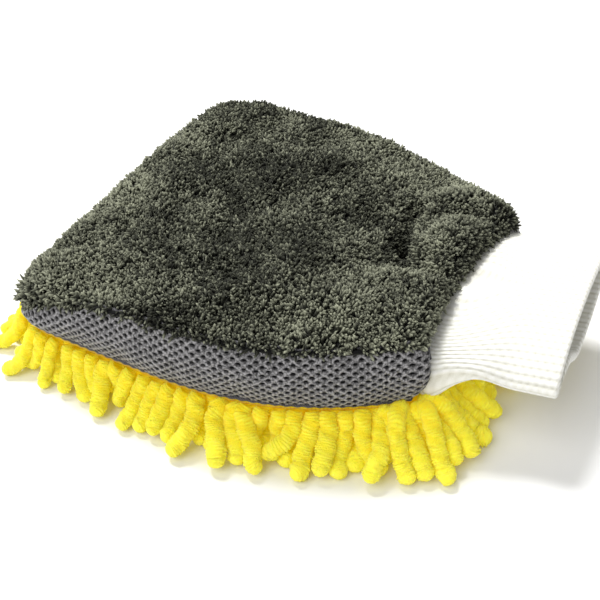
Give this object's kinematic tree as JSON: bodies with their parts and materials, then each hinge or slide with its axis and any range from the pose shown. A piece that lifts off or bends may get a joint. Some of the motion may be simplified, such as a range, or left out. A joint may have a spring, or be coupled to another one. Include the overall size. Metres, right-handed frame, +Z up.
{
  "type": "wash mitt",
  "caption": "Car wash mitt with a plush top, mesh sides, a chenille noodle underside and a flexing rib-knit wrist cuff.",
  "frame": {"origin": "under the middle of the mitt, on the surface that the fringe rests on", "axes": "+X from the fingertip end to the cuff, +Y to the side away from the viewer, +Z up through the plush top"},
  "size_m": [0.2712, 0.2144, 0.0616],
  "materials": {
    "plush": "long-pile grey-green plush",
    "mesh": "grey open air mesh",
    "foam": "soft sponge wadding",
    "lining": "smooth woven lining",
    "chenille": "lemon yellow chenille pile",
    "thread": "dark overlock thread",
    "knit": "white rib knit"
  },
  "bodies": {
    "mitt": {"plush_panel": "plush", "near_mesh_gusset": "mesh", "far_mesh_gusset": "mesh", "upper_wadding": "foam", "lower_wadding": "foam", "lining_top": "lining", "lining_bottom": "lining", "chenille_backing": "chenille", "near_upper_seam": "thread", "far_upper_seam": "thread", "lower_seam": "thread", "wrist_binding": "knit", "cuff_neck": "knit", "chenille_row_01": "chenille", "chenille_row_02": "chenille", "chenille_row_03": "chenille", "chenille_row_04": "chenille", "chenille_row_05": "chenille", "chenille_row_06": "chenille", "chenille_row_07": "chenille", "chenille_row_08": "chenille", "chenille_row_09": "chenille", "chenille_row_10": "chenille", "chenille_row_11": "chenille", "chenille_row_12": "chenille", "chenille_row_13": "chenille"},
    "cuff": {"knit_cuff": "knit"}
  },
  "joints": [
    {"name": "wrist_flex", "type": "hinge", "parent": "mitt", "child": "cuff", "pos_m": [0.08606, 0, 0.04], "axis": [0, -1, 0], "range_deg": [-20, 35], "stiffness_Nm_per_rad": 0.35, "deforming": ["cuff_neck"]}
  ]
}
